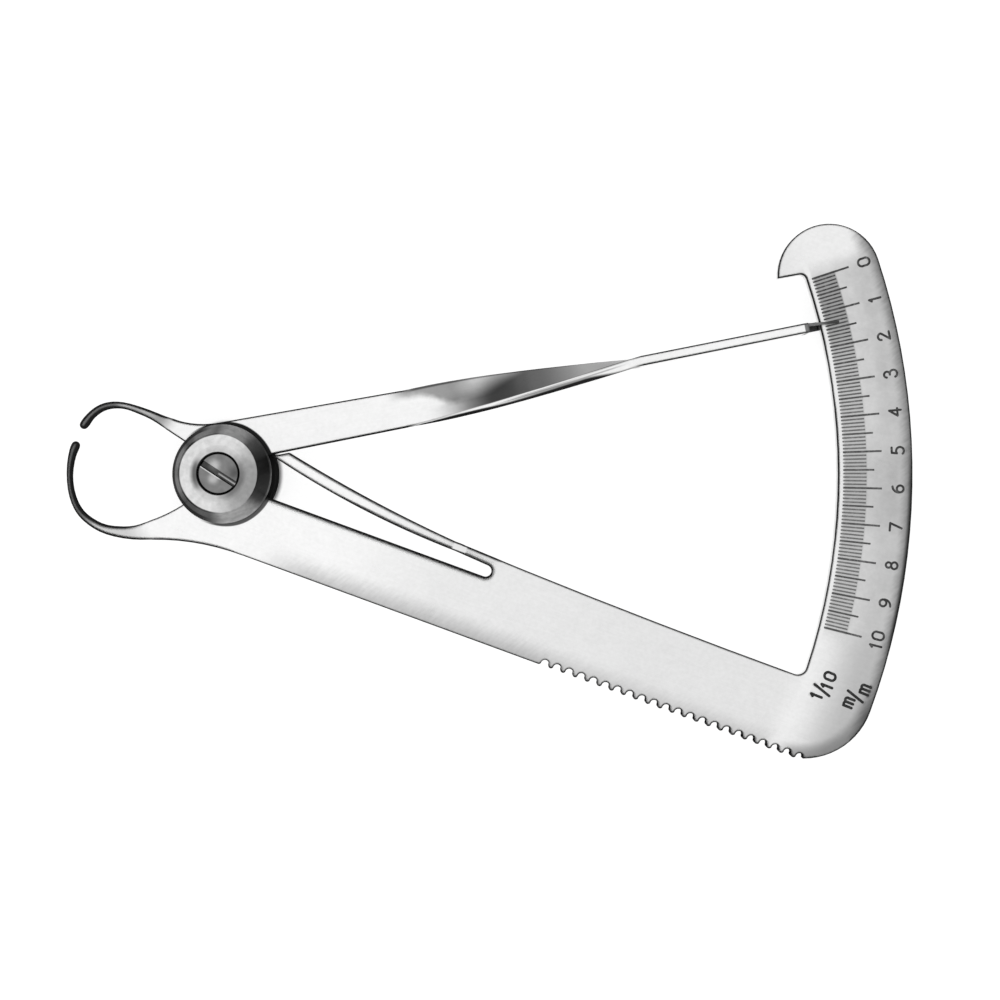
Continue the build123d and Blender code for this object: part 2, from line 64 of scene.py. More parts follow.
class Level:
    """A number in a shader, on which sums can be written."""

    def __init__(self, sheet: "NodeSheet", socket: Socket) -> None:
        """Wrap a socket.

        Args:
            sheet: The node sheet that the socket is on.
            socket: The output socket that carries the number.
        """
        self.sheet = sheet
        self.socket = socket

    def _math(
        self, operation: str, first: "Level | float", second: "Level | float" = 0.0
    ) -> "Level":
        """Add a Math node.

        Args:
            operation: The node's operation.
            first: The number or level on its first socket.
            second: The number or level on its second socket.

        Returns:
            The level that the node gives.
        """
        made = self.sheet.node(
            "ShaderNodeMath", {"operation": operation}, {"Value": first, "Value_001": second}
        )
        return Level(self.sheet, made.outputs[0])

    def __add__(self, other: "Level | float") -> "Level":
        """Give the sum with a number or level."""
        return self._math("ADD", self, other)

    __radd__ = __add__

    def __mul__(self, other: "Level | float") -> "Level":
        """Give the product with a number or level."""
        return self._math("MULTIPLY", self, other)

    __rmul__ = __mul__

    def __sub__(self, other: "Level | float") -> "Level":
        """Give the difference with a number or level."""
        return self._math("SUBTRACT", self, other)

    def __rsub__(self, other: float) -> "Level":
        """Give a number less this level."""
        return self._math("SUBTRACT", other, self)

    def __truediv__(self, other: "Level | float") -> "Level":
        """Give the quotient by a number or level."""
        return self._math("DIVIDE", self, other)

    def least(self, other: "Level | float") -> "Level":
        """Give the lesser of this and another level."""
        return self._math("MINIMUM", self, other)

    def most(self, other: "Level | float") -> "Level":
        """Give the greater of this and another level."""
        return self._math("MAXIMUM", self, other)

    def size(self) -> "Level":
        """Give this level without its sign."""
        return self._math("ABSOLUTE", self)

    def sine(self) -> "Level":
        """Give the sine of this level in radians."""
        return self._math("SINE", self)

    def cosine(self) -> "Level":
        """Give the cosine of this level in radians."""
        return self._math("COSINE", self)

    def rise(self, low: float, high: float, about: float = 0.0) -> "Level":
        """Rise smoothly from 0 to 1 between two numbers.

        Args:
            low: Where the rise starts.
            high: Where it ends; less than low for a fall.
            about: The number that both are counted from.

        Returns:
            The level between 0 and 1.
        """
        start, end = min(low, high) + about, max(low, high) + about
        made = self.sheet.node(
            "ShaderNodeMapRange",
            {"interpolation_type": "SMOOTHSTEP"},
            {"Value": self, "From Min": start, "From Max": end},
        )
        step = Level(self.sheet, made.outputs["Result"])
        return step if low <= high else 1 - step

    def span(
        self, start: float, full: float, fading: float, end: float, about: float = 0.0
    ) -> "Level":
        """Rise smoothly from 0 to 1 and fall back to 0.

        Args:
            start: Where the rise starts.
            full: Where it ends.
            fading: Where the fall starts.
            end: Where it ends.
            about: The number that all four are counted from.

        Returns:
            The level between 0 and 1.
        """
        return self.rise(start, full, about) * self.rise(end, fading, about)

    def steps(self, value: "Level | float", *changes: Triple) -> "Level | float":
        """Give a value that changes along this level.

        Args:
            value: The value before the changes.
            changes: For each, its amount and the two numbers that it rises between.

        Returns:
            The value with its changes.
        """
        for amount, low, high in changes:
            value = value + amount * self.rise(low, high)
        return value


class NodeSheet:
    """The nodes of one material or of the world."""

    def __init__(self, tree: bpy.types.NodeTree) -> None:
        """Clear a node tree and take it over.

        Args:
            tree: The tree of a material or a world.
        """
        self.tree = tree
        self.rounded: dict[float, Socket] = {}
        tree.nodes.clear()

    def node(
        self, kind: str, settings: dict | None = None, sockets: dict | None = None
    ) -> bpy.types.Node:
        """Add a node, with its settings made first.

        Args:
            kind: The node's type.
            settings: Values of its properties by name.
            sockets: Values or links of its inputs, by identifier or name.

        Returns:
            The node.
        """
        made = self.tree.nodes.new(kind)
        for name, value in (settings or {}).items():
            setattr(made, name, value)
        for name, value in (sockets or {}).items():
            by_identifier = [s for s in made.inputs if s.identifier == name]
            target = (by_identifier or [made.inputs[name]])[0]
            if isinstance(value, Level):
                value = value.socket
            if isinstance(value, Socket):
                self.tree.links.new(value, target)
            else:
                target.default_value = value
        return made

    def place(
        self,
        turn: float = 0.0,
        stretch: Triple = (1.0, 1.0, 1.0),
        centre: Triple = ORIGIN,
    ) -> Socket:
        """Give object coordinates in millimetres.

        Args:
            turn: Angle in degrees of the pattern's own X about the pivot.
            stretch: How many times longer the pattern is along each of its axes.
            centre: The point that the pattern is centred on, in millimetres.

        Returns:
            The vector's socket.
        """
        spot = self.node("ShaderNodeTexCoord").outputs["Object"]
        mapped = self.node(
            "ShaderNodeMapping",
            {"vector_type": "TEXTURE"},
            {
                "Vector": spot,
                "Location": [value * MM for value in centre],
                "Rotation": (0.0, 0.0, math.radians(turn)),
                "Scale": [MM * value for value in stretch],
            },
        )
        return mapped.outputs["Vector"]

    def axis(self, vector: Socket, name: str) -> Level:
        """Give one component of a vector, named X, Y or Z."""
        return Level(self, self.node("ShaderNodeSeparateXYZ", {}, {"Vector": vector}).outputs[name])

    def flat_place(self, centre: Triple = ORIGIN) -> Socket:
        """Give object coordinates in millimetres from a point, without their height."""
        made = self.node(
            "ShaderNodeVectorMath",
            {"operation": "MULTIPLY"},
            {"Vector": self.place(centre=centre), "Vector_001": (1.0, 1.0, 0.0)},
        )
        return made.outputs["Vector"]

    def radius(self, centre: Triple = ORIGIN) -> Level:
        """Give the distance in millimetres, seen from above, from the pivot or another point."""
        flat = self.flat_place(centre)
        made = self.node("ShaderNodeVectorMath", {"operation": "LENGTH"}, {"Vector": flat})
        return Level(self, made.outputs["Value"])

    def patch(self, centre: Triple, size: float) -> Level:
        """Give a soft round patch, 1 at its centre and 0 at its size in millimetres."""
        return self.radius(centre).rise(size, 0.0)

    def bearing(self) -> Level:
        """Give the angle round the pivot in degrees, from -180 to 180."""
        place = self.place()
        sides = {"Value": self.axis(place, "Y"), "Value_001": self.axis(place, "X")}
        made = self.node("ShaderNodeMath", {"operation": "ARCTAN2"}, sides)
        return Level(self, made.outputs[0]) * math.degrees(1.0)

    def noise(self, vector: Socket, size: float, detail: float = 2.0) -> Level:
        """Add a noise pattern about its middle.

        Args:
            vector: The coordinates, in millimetres.
            size: The size of its grains in millimetres.
            detail: How many finer layers it has.

        Returns:
            The pattern, from about -1 to 1.
        """
        made = self.node(
            "ShaderNodeTexNoise", {}, {"Vector": vector, "Scale": 1 / size, "Detail": detail}
        )
        return (Level(self, made.outputs["Fac"]) - 0.5) * 2

    def soft_normal(self, width: float) -> Socket:
        """Give the surface's normal as if its edges were rounded over a width in millimetres."""
        if width not in self.rounded:
            made = self.node("ShaderNodeBevel", {"samples": 8}, {"Radius": width * MM})
            self.rounded[width] = made.outputs["Normal"]
        return self.rounded[width]

    def lean(self, width: float) -> Level:
        """Give how far the rounded surface leans: 0 where it is level and 1 where it is upright."""
        return 1 - self.axis(self.soft_normal(width), "Z").size()

    def facing(self, centre: Triple, width: float) -> Level:
        """Find how the surface faces about an upright axis.

        Args:
            centre: A point of the axis, in millimetres.
            width: The width in millimetres over which edges are taken as rounded.

        Returns:
            The level, 1 where the surface faces away from the axis and -1 where it faces it.
        """
        flat = self.flat_place(centre)
        outward = self.node("ShaderNodeVectorMath", {"operation": "NORMALIZE"}, {"Vector": flat})
        normal = self.node(
            "ShaderNodeVectorTransform",
            {"vector_type": "NORMAL", "convert_from": "WORLD", "convert_to": "OBJECT"},
            {"Vector": self.soft_normal(width)},
        )
        made = self.node(
            "ShaderNodeVectorMath",
            {"operation": "DOT_PRODUCT"},
            {"Vector": outward.outputs["Vector"], "Vector_001": normal.outputs["Vector"]},
        )
        return Level(self, made.outputs["Value"])

    def grey(self, tone: Level) -> Socket:
        """Turn a level into a grey colour."""
        made = self.node(
            "ShaderNodeMix",
            {"data_type": "RGBA"},
            {"Factor_Float": tone, "A_Color": BLACK, "B_Color": WHITE},
        )
        return next(s for s in made.outputs if s.identifier == "Result_Color")

    def bump(self, height: Level, depth: float, normal: Socket | None) -> Socket:
        """Turn a level into small hills on the surface.

        Args:
            height: The level, in which 1 is one depth high.
            depth: The height of the hills in millimetres.
            normal: The normal that they stand on, or None for the surface's own.

        Returns:
            The bumped normal's socket.
        """
        sockets = {"Height": height, "Distance": depth * MM}
        if normal is not None:
            sockets["Normal"] = normal
        return self.node("ShaderNodeBump", {}, sockets).outputs["Normal"]


def new_sheet(name: str) -> tuple[bpy.types.Material, NodeSheet]:
    """Make an empty material.

    Args:
        name: The material's name.

    Returns:
        The material and the sheet of its nodes.
    """
    material = bpy.data.materials.new(name)
    material.use_nodes = True
    return material, NodeSheet(material.node_tree)


def close_sheet(sheet: NodeSheet, shader: Socket, kind: str = "Material") -> None:
    """Join a shader to the sheet's output.

    Args:
        sheet: The sheet of nodes.
        shader: The shader's socket.
        kind: Material or World.
    """
    sheet.node(f"ShaderNodeOutput{kind}", {}, {"Surface": shader})


def polar(radius: float, angle: float) -> Vector:
    """Give the point at a radius in millimetres and an angle in degrees round the pivot."""
    return Vector((math.cos(math.radians(angle)), math.sin(math.radians(angle)), 0.0)) * radius


def fan(sheet: NodeSheet, angle: float, width: float) -> Level:
    """Give a soft fan round the pivot, for the painted light and shade of turned steel.

    Args:
        sheet: The sheet of nodes.
        angle: The fan's middle in degrees.
        width: How far it reaches to each side, in degrees.

    Returns:
        The level, 1 along the fan's middle and 0 beyond its width.
    """
    place = sheet.place()
    towards = polar(1.0, angle)
    cosine = sheet.axis(place, "X") * towards.x + sheet.axis(place, "Y") * towards.y
    return (cosine / sheet.radius()).rise(math.cos(math.radians(width)), 1.0)


def fanned(sheet: NodeSheet, plain: float, fans: tuple[Triple, ...]) -> Level:
    """Add painted fans of light to a brightness.

    Args:
        sheet: The sheet of nodes.
        plain: The brightness between the fans.
        fans: For each, its brightness, its middle and its width in degrees.

    Returns:
        The brightness.
    """
    return sum((gain * fan(sheet, angle, width) for gain, angle, width in fans), plain)


def blended(first: Level | float, second: Level | float, share: Level) -> Level:
    """Go from a first level to a second one as the share goes from 0 to 1."""
    return first + (second - first) * share


@dataclass(frozen=True)
class Steel:
    """Bare steel: cloudy and finely lined, with painted shade that darkens and dulls its rounded
    edges and side walls.
    """

    name: str
    grain: Grain = Grain.STRAIGHT
    turn: float = 0.0
    plain: float = 0.85
    roughness: float = 0.3
    rim_width: float = 0.35
    edge_shade_tone: float = 0.02
    rim_strength: float = 9.0
    rim_ramp: Ramp = (0.08, 1.0)
    cloud_size: float = 2.6
    cloud_share: float = 0.05
    speck_share: float = 0.06
    line_size: float = 0.22
    line_stretch: float = 14.0
    ring_size: float = 0.1
    line_share: float = 0.04
    line_depth: float = 0.002

    def tone(self, sheet: NodeSheet) -> Level | float:
        """Give the brightness of the clean surface."""
        return self.plain

    def painted_edge_shade(self, sheet: NodeSheet) -> Level:
        """Give where painted shade makes the surface dark and matt: on its edges and side walls."""
        return (sheet.lean(self.rim_width) * self.rim_strength).rise(*self.rim_ramp)

    def lines(self, sheet: NodeSheet) -> Level:
        """Give the fine lines that the last polish left."""
        if self.grain is Grain.ROUND:
            sides = {"X": sheet.radius(), "Z": sheet.axis(sheet.place(), "Z")}
            spot = sheet.node("ShaderNodeCombineXYZ", {}, sides)
            return sheet.noise(spot.outputs["Vector"], self.ring_size)
        stretch = (self.line_stretch, 1.0, 1.0)
        return sheet.noise(sheet.place(turn=self.turn, stretch=stretch), self.line_size, detail=3.0)

    def shaded_normal(self, sheet: NodeSheet) -> Socket | None:
        """Give the normal that the fine lines stand on, or None for the surface's own."""
        return None

    def make(self) -> bpy.types.Material:
        """Build the material."""
        material, sheet = new_sheet(self.name)
        place = sheet.place()
        lines = self.lines(sheet)
        cloud = sheet.noise(place, self.cloud_size, detail=4.0)
        speck = sheet.noise(place, 0.45)
        marks = 1 + self.cloud_share * cloud + self.speck_share * speck + self.line_share * lines
        # Painted shade: edges and side walls are darkened and made matt.
        painted_edge_shade = self.painted_edge_shade(sheet)
        shader = sheet.node(
            "ShaderNodeBsdfPrincipled",
            {},
            {
                "Base Color": sheet.grey(blended(marks * self.tone(sheet), self.edge_shade_tone, painted_edge_shade)),
                "Metallic": 1 - painted_edge_shade,
                "Specular IOR Level": 0.0,
                "Roughness": self.roughness + 0.05 * cloud + 0.04 * lines,
                "Normal": sheet.bump(lines, self.line_depth, self.shaded_normal(sheet)),
            },
        )
        close_sheet(sheet, shader.outputs["BSDF"])
        return material


@dataclass(frozen=True)
class JawSteel(Steel):
    """Sheet steel that runs out into a round, polished jaw, with painted shade inside its curve and
    towards its end, and a painted highlight along it.
    """

    jaw_centre: Triple = (-10.5, 0.5, 0.0)
    jaw_radius: Ramp = (10.5, 13.5)
    jaw_end: Ramp = (16.0, 17.6)
    jaw_strength: float = 32.0
    outline_width: float = 0.8
    inside_shade_tone: float = 0.04
    outside_lit_tone: float = 0.4
    end_shade_loss: float = 0.66
    glint: float = 0.42
    joint: Triple = ORIGIN
    joint_patch: float = 1.15
    knob_shadow_radius: float = 6.26
    knob_shadow_width: float = 0.16
    knob_shadow_bearing: Ramp = (122.0, 95.0)

    def root(self, sheet: NodeSheet) -> Level:
        """Give 1 on the jaw and on its root, and 0 on the rest of the plate."""
        return sheet.radius().rise(4.0, 7.0) * sheet.axis(sheet.place(), "X").rise(2.0, -2.0)

    def outer_edge(self, sheet: NodeSheet) -> Level:
        """Give where the surface is an outer edge of the jaw or of its root."""
        facing = sheet.facing(self.jaw_centre, self.rim_width)
        return self.root(sheet) * facing.rise(0.02, 0.1)

    def off_joint(self, sheet: NodeSheet) -> Level:
        """Give 0 where the jaw joins its plate, where there is no edge, and 1 elsewhere."""
        return 1 - (2 * sheet.patch(self.joint, self.joint_patch)).least(1.0)

    def jaw(self, sheet: NodeSheet) -> Level:
        """Give how far a point is out on the jaw, from 0 to 1."""
        side = sheet.axis(sheet.place(), "X").rise(-3.0, -6.0)
        return sheet.radius().rise(*self.jaw_radius) * side

    def shaded_normal(self, sheet: NodeSheet) -> Socket | None:
        """Give the surface's own normal on the plate, and a rounded one on the jaw."""
        plain = sheet.node("ShaderNodeNewGeometry").outputs["Normal"]
        rounded = sheet.soft_normal(self.rim_width)
        mixed = sheet.node(
            "ShaderNodeMix",
            {"data_type": "VECTOR"},
            {"Factor_Float": self.jaw(sheet), "A_Vector": plain, "B_Vector": rounded},
        )
        return next(s for s in mixed.outputs if s.identifier == "Result_Vector")

    def knob_shadow_line(self, sheet: NodeSheet) -> Level:
        """Give the painted shadow on a plate round the knob: a dark line that narrows away from the
        scale.
        """
        height = sheet.axis(sheet.place(), "Z").rise(4.4, 4.5)
        bearing = sheet.bearing().size()
        radius = sheet.radius() + 0.25 * bearing.rise(62.0, 112.0)
        ring = radius.rise(self.knob_shadow_width, 0.0, about=self.knob_shadow_radius)
        return ring * height * bearing.rise(*self.knob_shadow_bearing)

    def with_jaw(self, sheet: NodeSheet, tone: Level | float) -> Level:
        """Paint the jaw's shade and its highlight.

        Args:
            sheet: The sheet of nodes.
            tone: The brightness of the rest of the part.

        Returns:
            The brightness of the whole part.
        """
        # Painted shade on the side facing into the curve and towards the end, with a painted
        # highlight (the glint) along the jaw.
        facing = sheet.facing(self.jaw_centre, self.rim_width)
        end = sheet.radius().rise(*self.jaw_end)
        body = blended(self.inside_shade_tone, self.outside_lit_tone, facing.rise(-0.12, 0.12))
        glint = (self.glint - 0.34 * end) * facing.span(-0.3, 0.0, 0.25, 0.55)
        return blended(tone, body * (1 - self.end_shade_loss * end) + glint, self.jaw(sheet))


@dataclass(frozen=True)
class FrameSteel(JawSteel):
    """The frame's steel: light on the arm, with painted shade that greys the scale and darkens its
    outer edge.
    """

    joint: Triple = (-8.58, -6.68, 0.0)
    knob_shadow_share: float = 0.88
    inner: float = 73.0
    outer: float = 81.8
    slot_strength: float = 60.0
    leaf_root: float = 29.0
    leaf_top: float = 1.35
    leaf_slope: float = 0.055
    teeth_strength: float = 14.0
    back_strength: float = 8.0
    pale_strength: float = 3.0
    arm_light: float = 0.95
    scale_light: float = 0.62
    tick_length: float = 3.5
    back_band: float = 2.3
    head_light: float = 0.85
    corner_light: float = 0.86
    first_mark: float = 18.35
    last_mark: float = -14.4
    mark_fade: float = 0.1
    bend_centre: Triple = (68.88, -25.35, 0.0)
    inner_arc_highlight: float = 0.85

    def inlaid(self, radius: Level, bearing: Level) -> Level:
        """Give where the marks, the numerals and the label lie in the plate."""
        marks = radius.rise(0.4, 0.55, about=self.inner)
        marks = marks * radius.rise(-0.7, -0.9, about=self.outer)
        label = radius.rise(1.6, 1.9, about=self.inner)
        label = label * radius.rise(-1.0, -1.2, about=self.outer)
        label = label * bearing.span(-23.5, -23.0, -16.5, -15.5)
        return label.most(marks * bearing.span(-17.2, -16.6, 18.9, 19.3))

    def painted_edge_shade(self, sheet: NodeSheet) -> Level:
        """Give where painted shade makes the surface dark and matt: widest round the slot and along
        the jaw.
        """
        arm = sheet.place(turn=self.turn)
        along, across = sheet.axis(arm, "X"), sheet.axis(arm, "Y")
        radius, bearing = sheet.radius(), sheet.bearing()
        slot = along.span(4.0, 5.0, 33.8, 35.0) * across.rise(-5.2, -4.4)
        over_leaf = across - self.leaf_top + self.leaf_slope * (along - self.leaf_root)
        leaf = slot * over_leaf.rise(0.0, 0.3) * along.steps(48.0, (7.0, 18.0, 27.0))
        teeth = across.rise(-7.0, -7.3) * along.rise(42.0, 45.0)
        back = radius.rise(-1.5, -1.0, about=self.outer)
        pale = bearing.rise(-4.0, -7.0).most(bearing.span(5.0, 7.5, 10.5, 13.0))
        pale = pale * radius.span(-3.0, -1.0, 0.8, 1.2, about=self.inner)
        strength = self.rim_strength + self.back_strength * back + self.teeth_strength * teeth
        strength = strength - self.pale_strength * pale
        wide = self.slot_strength * slot - leaf + self.jaw_strength * self.outer_edge(sheet)
        painted_edge_shade = sheet.lean(self.rim_width) * strength + sheet.lean(self.outline_width) * wide
        upper = sheet.axis(sheet.place(), "Z").rise(3.9, 4.3)
        painted_edge_shade = painted_edge_shade.rise(*self.rim_ramp) * upper.most(slot).most(self.root(sheet)).most(teeth)
        seam = (across - 1.445).size().rise(0.4, 0.28) * along.span(28.4, 28.7, 30.1, 30.4)
        painted_edge_shade = painted_edge_shade * self.off_joint(sheet) * (1 - seam) * (1 - self.inlaid(radius, bearing))
        # Painted shade on part of the rolled outer edge.
        low_back = radius.rise(-0.7, -0.1, about=self.outer)
        painted_edge_shade = painted_edge_shade.most(low_back * bearing.span(-17.0, -13.0, -2.0, 4.0))
        # Add the painted shadow round the knob.
        return painted_edge_shade.most(self.knob_shadow_share * self.knob_shadow_line(sheet))

    def scale_tone(self, radius: Level, bearing: Level, uneven: Level, blotches: Level) -> Level:
        """Give the scale's brightness, with painted shade that greys it and darkens it outward, and
        its lighter head and lower corner.

        Args:
            radius: The distance from the pivot.
            bearing: The angle round the pivot.
            uneven: The radius, made uneven by the streaks.
            blotches: The blotches' pattern.

        Returns:
            The brightness.
        """
        back = self.outer - self.back_band
        # Painted shade: the scale is greyer than the arm and darker outward.
        tone = self.scale_light * (1 - 0.13 * radius.rise(self.inner + self.tick_length, back))
        tone = tone * (1 + 0.12 * blotches)
        tone = tone * (1 - 0.1 * bearing.span(-6.0, -3.0, 0.0, 3.0))
        # Painted shade on the head's rolled outer edge.
        head = 1 - 0.45 * uneven.rise(-2.6, -1.0, about=self.outer)
        tone = blended(tone, self.head_light * head, bearing.rise(18.0, 20.0))
        corner = self.corner_light - 0.36 * radius.rise(self.inner, back)
        return blended(tone, corner, bearing.rise(-13.0, -16.0))

    def tone(self, sheet: NodeSheet) -> Level | float:
        """Give the surface's brightness, with painted shade on the scale and the jaw, and a painted
        highlight along the inner arc.
        """
        arm = sheet.place(turn=self.turn)
        along, low = sheet.axis(arm, "X"), -1 * sheet.axis(arm, "Y")
        radius, bearing = sheet.radius(), sheet.bearing()
        streaks = sheet.noise(sheet.place(turn=38.0, stretch=(5.0, 1.0, 1.0)), 0.35)
        blotches = sheet.noise(sheet.place(), 1.3, detail=3.0)
        uneven = radius + 0.3 * streaks
        fall = (low + 0.5 * streaks).rise(5.2, 8.6) * along.rise(6.0, 14.0)
        arm_tone = along.steps(self.arm_light, (-0.13, 12.0, 32.0), (-0.04, 32.0, 60.0))
        arm_tone = arm_tone * (1 - fall * along.steps(0.42, (-0.12, 42.0, 48.0)))
        scale_tone = self.scale_tone(radius, bearing, uneven, blotches)
        tone = blended(arm_tone, scale_tone, radius.rise(-2.5, 0.5, about=self.inner))
        # Painted shade along the rolled outer edge.
        tone = tone * (1 - 0.62 * uneven.rise(-1.7, 0.0, about=self.outer))
        lined = bearing.rise(-self.mark_fade, 0.0, about=self.last_mark)
        lined = lined * bearing.rise(self.mark_fade, 0.0, about=self.first_mark)
        rubbed = bearing.steps(0.18, (0.27, 9.0, 15.0)) + 0.1 * blotches
        rubbed = rubbed * radius.span(0.6, 0.9, 3.3, 3.5, about=self.inner)
        tone = tone * (1 - rubbed * lined)
        bend = sheet.patch(self.bend_centre, 8.4).rise(0.16, 0.0)
        bend = bend * bearing.rise(-18.0, -21.0) * along.rise(72.0, 75.0)
        tone = tone * (1 - 0.5 * bend)
        # Painted highlight: a lighter band along the inner arc.
        band = radius.span(-0.1, 0.1, 0.45, 0.75, about=self.inner)
        band = band * bearing.rise(-3.0, 0.0, about=self.last_mark)
        return self.with_jaw(sheet, blended(tone, self.inner_arc_highlight, band))


@dataclass(frozen=True)
class PointerSteel(JawSteel):
    """The pointer arm's steel, with painted shade and painted highlights in the dark and bright
    bands of its quarter twist, and painted shade on its fork.
    """

    joint: Triple = (-6.45, 5.98, 0.0)
    joint_patch: float = 0.8
    jaw_radius: Ramp = (7.5, 12.0)
    jaw_end: Ramp = (14.0, 15.4)
    jaw_strength: float = 34.0
    knob_shadow_bearing: Ramp = (140.0, 108.0)
    rim_strength: float = 13.0
    middle: float = 3.35
    level: float = 3.8
    thick: float = 1.6
    blade_thick: float = 1.15
    thin_share: float = 0.65
    width: float = 4.37
    taper: float = 0.0038
    twist_start: float = 22.6
    twist_end: float = 51.2
    blade_end: float = 71.4
    face_light: float = 0.92
    face_shade_loss: float = 0.93
    face_skew: float = 1.9
    face_steps: tuple[Triple, ...] = (
        (0.05, 35.5, 38.5),
        (0.08, 39.0, 43.5),
        (0.05, 42.5, 44.5),
        (-0.13, 44.5, 48.0),
    )
    cloud_grain: float = 1.6
    cloud_shade_loss: float = 0.62
    wall_light: float = 0.93
    edge_light: float = 0.9
    groove_loss: float = 0.4
    lower_tine_shade: float = 0.05
    fork_high: float = 0.2
    root_patches: tuple[Patch, ...] = ((0.55, (-7.4, 6.7, 0.0), 2.4), (0.4, (-10.4, 7.2, 0.0), 2.6))

    def spot(self, sheet: NodeSheet) -> dict[str, Level]:
        """Give a point's place in the arm's own section, which turns with the twist.

        Args:
            sheet: The sheet of nodes.

        Returns:
            along: The distance from the pivot along the arm.
            depth: The place across the arm's thickness, from its upper face at above.
            side: The place across its width, from its lower edge, which turns up.
            above: Half the thickness.
            rise: The height over the plates' middle.
        """
        arm = sheet.place(turn=self.turn)
        along = sheet.axis(arm, "X")
        offset = sheet.axis(arm, "Y") - self.middle
        rise = sheet.axis(arm, "Z") - self.level
        share = (along - self.twist_start) / (self.twist_end - self.twist_start)
        share = share.most(0.0).least(1.0)
        sine, cosine = (share * (math.pi / 2)).sine(), (share * (math.pi / 2)).cosine()
        thinner = (self.thick - self.blade_thick) / 2 * (share / self.thin_share).least(1.0)
        above = self.thick / 2 - thinner
        depth, side = rise * cosine + offset * sine, offset * cosine - rise * sine
        return {"along": along, "depth": depth, "side": side, "above": above, "rise": rise}

    def twist_lines(self, spot: dict[str, Level]) -> Level:
        """Give the painted shade along the upper and lower edges of the twist."""
        along, side = spot["along"], spot["side"]
        half = self.width / 2 - self.taper * (along - self.twist_start)
        upper = 0.75 * (side - half).rise(-0.45, -0.22)
        back = spot["depth"] + spot["above"]
        lower = (back - along.steps(0.12, (0.5, 49.0, 44.0), (0.6, 36.0, 27.0))).rise(0.18, -0.18)
        lower = lower * (side + self.width / 2).rise(0.35, 0.15)
        flank = back.rise(0.1, 0.0) * side.rise(0.0, -0.4)
        return upper.most(lower.most(flank * along.span(33.0, 35.0, 49.0, 51.0)))

    def painted_edge_shade(self, sheet: NodeSheet) -> Level:
        """Give where painted shade makes the surface dark and matt: its edges, and the shaded side
        of the twist.
        """
        spot = self.spot(sheet)
        along, side = spot["along"], spot["side"]
        wide = sheet.lean(self.outline_width) * self.jaw_strength * self.outer_edge(sheet)
        edges = (sheet.lean(self.rim_width) * self.rim_strength + wide).rise(*self.rim_ramp)
        seam = along.span(22.0, 22.3, 22.9, 23.2) * side.size().rise(2.0, 1.8)
        twisted = along.span(22.5, 24.5, 49.5, 51.5)
        near_top = spot["rise"].rise(-1.1, -0.5, about=self.width / 2)
        edges = edges * self.off_joint(sheet) * (1 - seam) * (1 - twisted)
        edges = edges * (1 - along.rise(50.0, 51.5) * (1 - near_top))
        edges = edges.most(self.twist_lines(spot) * twisted)
        edges = edges * (1 - 0.55 * along.rise(-0.6, 0.0, about=self.blade_end))
        # Add the painted shadow round the knob.
        return edges.most(self.knob_shadow_line(sheet))

    def face_tone(self, sheet: NodeSheet, along: Level, side: Level) -> Level:
        """Give the brightness of the face that turns from upward to sideways, with its painted
        shade and gleam.

        Args:
            sheet: The sheet of nodes.
            along: The distance from the pivot along the arm.
            side: The place across the arm's width.

        Returns:
            The brightness.
        """
        skewed = along - self.face_skew * side.most(-0.9)
        # Painted shade as the face turns sideways, a darker painted cloud, and a painted gleam.
        face = self.face_light * (1 - self.face_shade_loss * skewed.rise(26.5, 35.0))
        face = along.steps(face, *self.face_steps)
        ragged = 0.5 * sheet.noise(sheet.place(), self.cloud_grain, detail=3.0)
        cloud = (side - along.steps(1.2, (-1.9, 24.5, 29.0)) + ragged).rise(-0.6, 0.6)
        cloud = cloud * along.span(20.5, 23.5, 34.0, 37.0) * along.steps(1.0, (-0.75, 28.5, 31.5))
        gleam = 1 + 0.45 * along.span(30.0, 32.5, 36.0, 37.5)
        return face * (1 - self.cloud_shade_loss * cloud) * gleam

    def tone(self, sheet: NodeSheet) -> Level | float:
        """Give the surface's brightness, with the painted shade of the twist, the fork and the jaw.
        """
        spot = self.spot(sheet)
        along, side = spot["along"], spot["side"]
        sunk = spot["depth"] - spot["above"]
        on_face = sunk.rise(-0.12, -0.02)
        tone = blended(self.wall_light, self.face_tone(sheet, along, side), on_face)
        groove = (sunk + 0.42).size().rise(0.14, 0.04) * along.span(32.0, 36.0, 47.0, 50.0)
        weave = sheet.noise(sheet.place(self.turn + 35.0, (6.0, 1.0, 1.0)), 0.3)
        weave = 1 + 0.08 * weave * along.rise(46.0, 50.0)
        edge = (self.edge_light - self.groove_loss * groove) * weave
        on_edge = (side + self.width / 2).rise(0.3, 0.1) * along.rise(23.0, 25.0)
        tone = blended(tone, edge, on_edge * (1 - on_face))
        # Painted shade on the fork: darkest low down, and darker again towards the point.
        tine = blended(self.lower_tine_shade, self.fork_high, spot["rise"].rise(0.6, 1.2))
        tine = tine * (1 - 0.65 * along.rise(72.5, 74.0))
        tone = blended(tone, tine, along.rise(-0.55, -0.45, about=self.blade_end))
        tone = self.with_jaw(sheet, tone)
        for loss, centre, size in self.root_patches:
            tone = tone * (1 - loss * sheet.patch(centre, size))
        return tone


